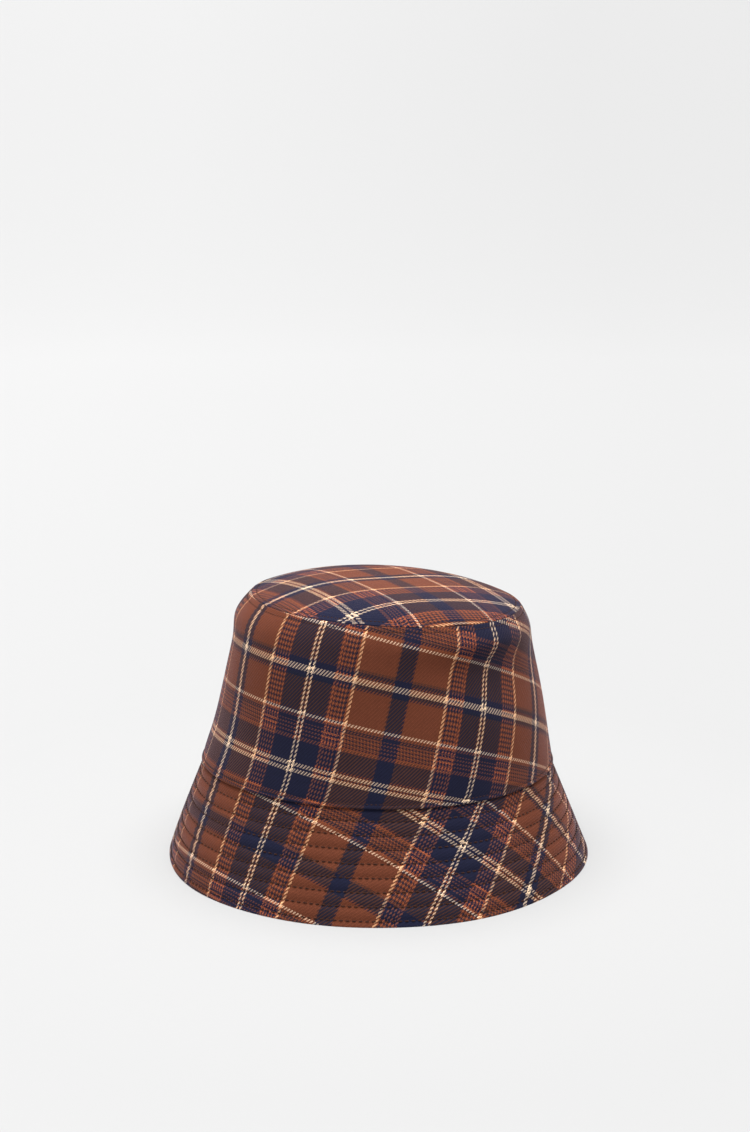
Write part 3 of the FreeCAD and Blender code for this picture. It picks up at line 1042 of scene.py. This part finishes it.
def make_lining():
    high = CROWN.slant - LINING_DROP
    profile, outer = band_profile(0.0, high, LINING_DEPTH, LINING, 3.0)
    side = swept("lining_side_cloth", CROWN, profile, COARSE, crown_cloth, strips=2, shown=~outer)
    dress(side, LINING_CLOTH, "lining", "lining_side")
    dome = Dome(high, LINING_DEPTH, LINING_DOME)
    insets = np.linspace(dome.radius, 0.1, 24)
    section = [(inset, 0.0) for inset in insets] + [(inset, LINING) for inset in insets[::-1]]
    tip = domed("lining_tip_cloth", dome, section, COARSE_TIP)
    dress(tip, LINING_CLOTH, "lining", "lining_tip")

    profile, outer = band_profile(0.0, BAND_HEIGHT, BAND_DEPTH, BAND, 2.0)
    band = swept("sweatband_ribbed", CROWN, profile, COARSE, crown_cloth, shown=~outer)
    dress(band, BAND_RIB, "sweatband", "sweatband")
    length = row_length(CROWN, BAND_ROW)

    def place(turn, height):
        return CROWN.at(turn, np.full_like(turn, BAND_ROW), BAND_DEPTH + BAND + height)

    made = stitches("sweatband_stitches", place, row_places(length, BAND_STITCH), length,
                    BAND_STITCH * BAND_COVERED)
    dress(made, BROWN_THREAD, "thread", "sweatband_stitch")


def two_faced(sheet, facing):
    """A grid of points made into a closed tape: its points, and its faces as their numbers."""
    columns, rows = sheet.shape[:2]
    sides = np.stack([sheet + facing * LABEL_THICK / 2, sheet - facing * LABEL_THICK / 2])
    count = columns * rows
    index = np.arange(count).reshape(columns, rows)
    quads = np.stack([index[:-1, :-1], index[:-1, 1:], index[1:, 1:], index[1:, :-1]], -1)
    quads = quads.reshape(-1, 4)
    rim = np.concatenate([index[:, 0], index[-1, 1:], index[-2::-1, -1], index[0, -2:0:-1]])
    after = np.roll(rim, -1)
    edge = np.stack([rim, after, after + count, rim + count], -1)
    return sides.reshape(-1, 3), np.concatenate([quads, quads[:, ::-1] + count, edge])


def make_label(name, node, body, curl):
    """A woven tape that hangs from its sewn top edge and curls a little away from the lining.

    Its sides cup out as well, because the wall behind it is round.
    """
    near_top = 0.3
    points = node_points(node)
    top = points[points[:, 2] > points[:, 2].max() - near_top]
    middle = top.mean(0)
    spread = top[:, :2] - middle[:2]
    along = np.append(np.linalg.svd(spread)[2][0], 0.0)
    along *= np.sign(along[0])
    facing = np.array([along[1], -along[0], 0.0])
    width = 2 * abs(spread @ along[:2]).max()
    drop = np.ptp(points[:, 2])

    # U runs across the tape from -1 to 1, and v down it from 0 to 1.
    u, v = np.meshgrid(np.linspace(-1, 1, 25), np.linspace(0, 1, 41), indexing="ij")
    into_corner = np.clip((v * drop - (drop - LABEL_CORNER)) / LABEL_CORNER, 0, 1)
    half = width / 2 - LABEL_CORNER * (1 - np.sqrt(1 - into_corner ** 2))
    out = curl * v ** 2 + LABEL_CUP * u ** 2 * np.sqrt(v)
    down = np.array([0.0, 0.0, -1.0])
    sheet = (middle + along * (u * half)[..., None] + facing * out[..., None]
             + down * (v * drop)[..., None])
    points, faces = two_faced(sheet, facing)

    # The two faces lie side by side in the texture.
    flat = np.tile(np.stack([u * half, v * drop], -1).reshape(-1, 2), (2, 1))
    is_back = (np.arange(len(flat)) >= len(flat) // 2) * 1.0
    bake = np.stack([(flat[:, 0] / width + 0.5) * 0.46 + 0.02 + 0.5 * is_back,
                     flat[:, 1] / drop * 0.96 + 0.02], -1)
    label = new_mesh(name, points, faces.tolist(), {"OFBake": bake[faces].reshape(-1, 2),
                                                   "Cloth": flat[faces].reshape(-1, 2)})
    dress(label, SATIN, "label_tape", node, body=body)


# -------- the studio

# The floor's flat part, the radius of the bend up from it, and the wall's top, in millimetres.
FLOOR_RADIUS = 2200.0
BEND = 1400.0
WALL_TOP = 2600.0

# The camera: its lens and place in millimetres, and the way it looks.
LENS = 66.8
SENSOR = 36.0
CAMERA = (956.9, -587.6, 427.0)
SIGHT = (-0.8303, 0.5081, -0.2289)


def floor():
    """A pale floor that curves up all round into a low wall."""
    flat = np.linspace(50.0, FLOOR_RADIUS, 24)
    bends = np.linspace(0, math.pi / 2, 14)[1:]
    radii = np.concatenate([flat, FLOOR_RADIUS + BEND * np.sin(bends), [FLOOR_RADIUS + BEND]])
    heights = np.concatenate([np.zeros(24), BEND * (1 - np.cos(bends)), [WALL_TOP]])
    columns = 96
    turn = TAU * np.arange(columns) / columns
    points = np.stack([np.outer(np.sin(turn), radii), np.outer(np.cos(turn), radii),
                       np.tile(heights, (columns, 1))], -1).reshape(-1, 3)
    rows = len(radii)
    column, row = np.meshgrid(np.arange(columns), np.arange(rows - 1), indexing="ij")
    column, row = column.ravel(), row.ravel()
    after = (column + 1) % columns
    faces = np.stack([column * rows + row, column * rows + row + 1, after * rows + row + 1,
                      after * rows + row], -1).tolist()
    faces.append([c * rows for c in range(columns)])
    obj = new_mesh("floor", points, faces, {})
    obj.location.z = cad_low.z
    obj.data.materials.append(backdrop_paper("backdrop_paper"))


def soft_sun(name, towards, spread, strength):
    """A broad even light from far off. Spread is how wide it looks, in degrees."""
    data = bpy.data.lights.new(name, "SUN")
    data.angle = math.radians(spread)
    data.energy = strength
    obj = bpy.data.objects.new(name, data)
    obj.rotation_euler = towards.to_track_quat("Z", "Y").to_euler()
    bpy.context.scene.collection.objects.link(obj)


def studio():
    world = bpy.data.worlds.new("studio")
    bpy.context.scene.world = world
    world.use_nodes = True
    background = world.node_tree.nodes["Background"]
    background.inputs["Color"].default_value = (1.0, 1.0, 1.0, 1.0)
    background.inputs["Strength"].default_value = 0.45

    # Out towards the camera, to the left as it looks, and up.
    out = Vector((0.83, -0.51, 0.0))
    left = Vector((-0.51, -0.83, 0.0))
    up = Vector((0.0, 0.0, 1.0))
    soft_sun("top", up, 60.0, 7.2)
    soft_sun("key", out * 0.55 + left * 0.45 + up, 50.0, 0.5)
    soft_sun("fill", out * 0.8 - left * 0.5 + up * 0.9, 70.0, 0.25)

    data = bpy.data.cameras.new("camera")
    data.lens = LENS
    data.sensor_width = SENSOR
    data.sensor_fit = "AUTO"
    camera = bpy.data.objects.new("camera", data)
    camera.location = Vector(CAMERA) * MM
    camera.rotation_euler = Vector(SIGHT).to_track_quat("-Z", "Y").to_euler()
    bpy.context.scene.collection.objects.link(camera)
    bpy.context.scene.camera = camera
    bpy.context.scene.view_settings.view_transform = "Standard"


make_brim()
make_crown()
make_lining()
make_label("care_label_tape", "care_label", "care_label_flap", CARE_LABEL_CURL)
make_label("size_tab_tape", "size_tab", "size_tab_flap", SIZE_TAB_CURL)
floor()
studio()
